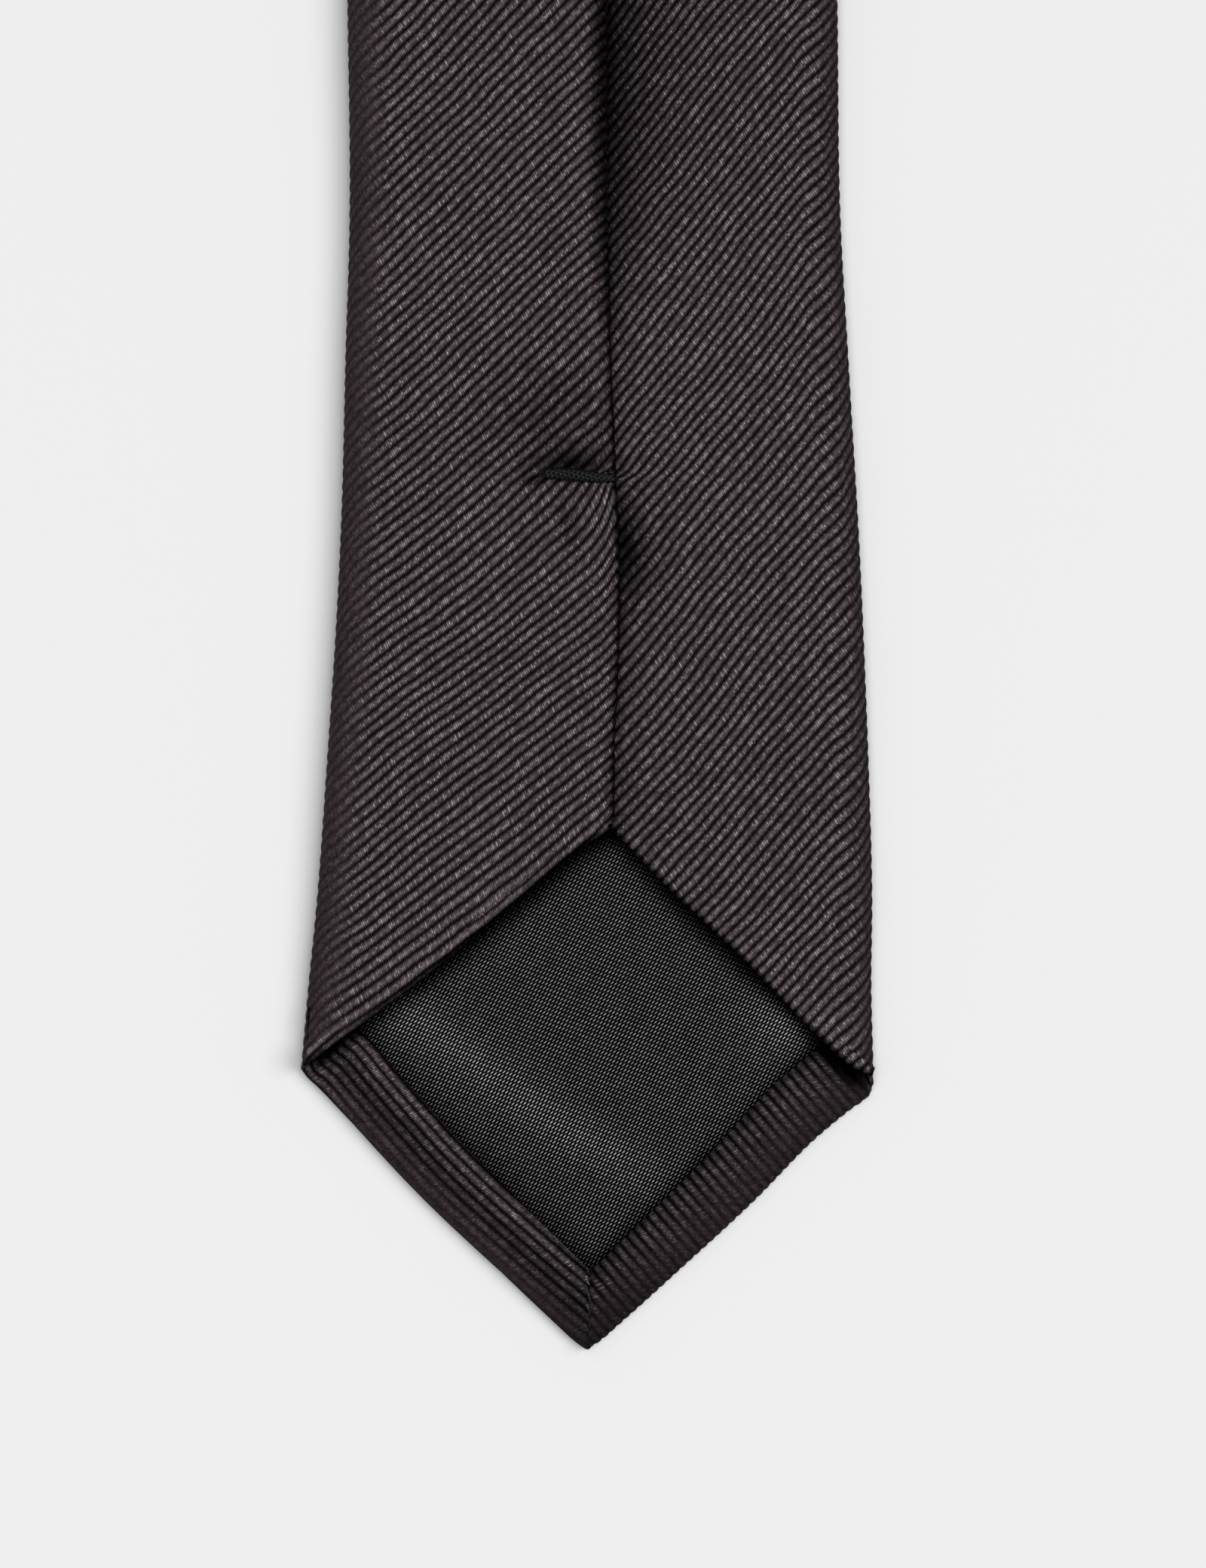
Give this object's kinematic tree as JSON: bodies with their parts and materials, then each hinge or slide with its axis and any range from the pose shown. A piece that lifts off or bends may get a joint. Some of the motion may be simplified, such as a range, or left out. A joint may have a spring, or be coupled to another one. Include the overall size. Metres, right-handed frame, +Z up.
{
  "type": "necktie",
  "caption": "Dark ribbed necktie lying face down: wide pointed blade with hemmed tip and black tipping, the rest rolled up behind.",
  "frame": {"origin": "under the middle of the whole object's box, on the surface that it lies on", "axes": "+Z up; the wide blade's tip points to -Y with its back (seam side) up; the roll is at +Y; +X is the wearer's side that lies right when the back is looked at with the tip down"},
  "size_m": [0.07, 0.3068, 0.0751],
  "materials": {
    "ribbed_cloth": "ribbed woven polyester or silk, low sheen",
    "tipping": "plain woven acetate lining, soft satin sheen",
    "interlining": "brushed wool blend, undyed",
    "thread": "twisted polyester thread",
    "label": "blank woven satin label"
  },
  "bodies": {
    "rolled_length": {"care_label": "label", "care_label_stitch": "thread", "interlining_join_stitch": "thread", "narrow_bar_tack": "thread", "narrow_blade_shell": "ribbed_cloth", "narrow_hem_seam_left": "thread", "narrow_hem_seam_right": "thread", "narrow_interlining": "interlining", "narrow_mitre_stitches": "thread", "narrow_tipping": "tipping", "neck_seam_narrow": "thread", "neck_seam_wide": "thread", "neck_shell": "ribbed_cloth", "slip_stitch_rolled": "thread", "wide_blade_shell_rolled": "ribbed_cloth", "wide_interlining_rolled": "interlining"},
    "blade_mid": {"wide_blade_shell_mid": "ribbed_cloth", "wide_interlining_mid": "interlining", "wide_tipping_mid": "tipping", "slip_stitch_mid": "thread", "wide_bar_tack": "thread", "keeper_loop": "ribbed_cloth", "keeper_tack_left": "thread", "keeper_tack_right": "thread"},
    "blade_end": {"wide_blade_shell_end": "ribbed_cloth", "wide_interlining_end": "interlining", "wide_tipping_end": "tipping", "wide_hem_seam_left": "thread", "wide_hem_seam_right": "thread", "wide_mitre_stitches": "thread"}
  },
  "joints": [
    {"name": "blade_lift", "type": "hinge", "parent": "rolled_length", "child": "blade_mid", "pos_m": [0, 0.04657, 0.0052], "axis": [-1, 0, 0], "range_deg": [0, 40]},
    {"name": "blade_end_fold", "type": "hinge", "parent": "blade_mid", "child": "blade_end", "pos_m": [0, -0.06543, 0.0052], "axis": [-1, 0, 0], "range_deg": [0, 170]}
  ]
}
